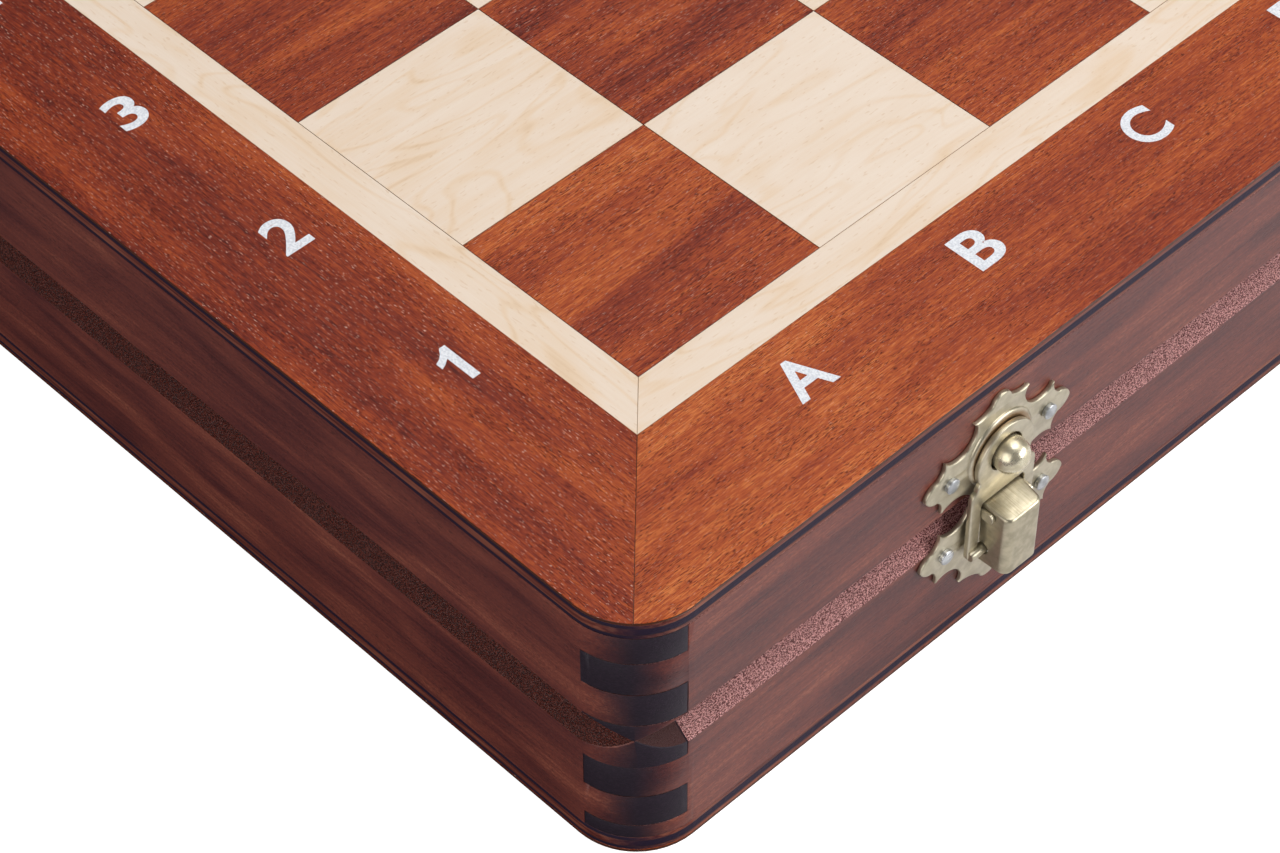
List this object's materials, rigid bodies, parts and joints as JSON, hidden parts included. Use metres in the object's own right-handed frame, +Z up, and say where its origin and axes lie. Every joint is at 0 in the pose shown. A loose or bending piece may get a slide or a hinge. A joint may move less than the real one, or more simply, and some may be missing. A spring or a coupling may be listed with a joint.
{
  "type": "folding chess set",
  "caption": "Folding wooden chess case, closed: veneered playing faces, finger-jointed tray sides, ball-stud toggle latches, hinges, and turned men in fitted inserts.",
  "frame": {"origin": "middle of the underside of the closed case, on the lower playing face", "axes": "+X along the files, from file A to file H; -Y at the latches, +Y at the hinges; +Z up out of the upper playing face"},
  "size_m": [0.3468, 0.1822, 0.049],
  "materials": {
    "stained_frame": "stained, satin lacquer",
    "plywood": "stained plywood edge",
    "mahogany_veneer": "satin lacquered mahogany veneer",
    "maple_veneer": "satin lacquered maple veneer",
    "maple_strip": "satin lacquered maple strip",
    "mahogany_border": "satin lacquered mahogany border",
    "flocked_insert": "flocked, matt",
    "dark_men": "stained and polished",
    "light_men": "clear polished boxwood",
    "latch_metal": "pale brass plated steel, satin",
    "nail_steel": "bright",
    "hinge_brass": "satin"
  },
  "bodies": {
    "lower_half": {"lower_front_board": "stained_frame", "lower_back_board": "stained_frame", "lower_left_board": "stained_frame", "lower_right_board": "stained_frame", "lower_plywood_panel": "plywood", "lower_dark_squares": "mahogany_veneer", "lower_light_squares": "maple_veneer", "lower_front_strip": "maple_strip", "lower_left_strip": "maple_strip", "lower_right_strip": "maple_strip", "lower_front_border": "mahogany_border", "lower_left_border": "mahogany_border", "lower_right_border": "mahogany_border", "lower_insert": "flocked_insert", "dark_king": "dark_men", "dark_queen": "dark_men", "dark_bishops": "dark_men", "dark_knights": "dark_men", "dark_rooks": "dark_men", "dark_pawns": "dark_men", "lower_hinge_leaves": "hinge_brass", "hinge_pins": "hinge_brass", "lower_hinge_screws": "hinge_brass", "lower_latch_plates": "latch_metal", "lower_plate_nails": "nail_steel", "lever_pins": "latch_metal"},
    "upper_half": {"upper_front_board": "stained_frame", "upper_back_board": "stained_frame", "upper_left_board": "stained_frame", "upper_right_board": "stained_frame", "upper_plywood_panel": "plywood", "upper_dark_squares": "mahogany_veneer", "upper_light_squares": "maple_veneer", "upper_front_strip": "maple_strip", "upper_left_strip": "maple_strip", "upper_right_strip": "maple_strip", "upper_front_border": "mahogany_border", "upper_left_border": "mahogany_border", "upper_right_border": "mahogany_border", "upper_insert": "flocked_insert", "light_king": "light_men", "light_queen": "light_men", "light_bishops": "light_men", "light_knights": "light_men", "light_rooks": "light_men", "light_pawns": "light_men", "upper_hinge_leaves": "hinge_brass", "upper_hinge_screws": "hinge_brass", "upper_latch_plates": "latch_metal", "ball_studs": "latch_metal", "upper_plate_nails": "nail_steel"},
    "left_lever_arm": {"left_lever": "latch_metal"},
    "right_lever_arm": {"right_lever": "latch_metal"},
    "left_loop_ring": {"left_loop": "latch_metal"},
    "right_loop_ring": {"right_loop": "latch_metal"}
  },
  "joints": [
    {"name": "lid_hinge", "type": "hinge", "parent": "lower_half", "child": "upper_half", "pos_m": [0, 0.08685, 0.0245], "axis": [-1, 0, 0], "range_deg": [0, 180]},
    {"name": "left_lever_turn", "type": "hinge", "parent": "lower_half", "child": "left_lever_arm", "pos_m": [-0.1044, -0.0901, 0.0249], "axis": [-1, 0, 0], "range_deg": [0, 100]},
    {"name": "right_lever_turn", "type": "hinge", "parent": "lower_half", "child": "right_lever_arm", "pos_m": [0.1044, -0.0901, 0.0249], "axis": [-1, 0, 0], "range_deg": [0, 100]},
    {"name": "left_loop_turn", "type": "hinge", "parent": "left_lever_arm", "child": "left_loop_ring", "pos_m": [-0.1044, -0.089, 0.0174], "axis": [1, 0, 0], "range_deg": [0, 145]},
    {"name": "right_loop_turn", "type": "hinge", "parent": "right_lever_arm", "child": "right_loop_ring", "pos_m": [0.1044, -0.089, 0.0174], "axis": [1, 0, 0], "range_deg": [0, 145]}
  ],
  "couplings": [
    {"joint": "left_loop_turn", "follows": "left_lever_turn", "ratio": 1.4},
    {"joint": "right_loop_turn", "follows": "right_lever_turn", "ratio": 1.4}
  ]
}
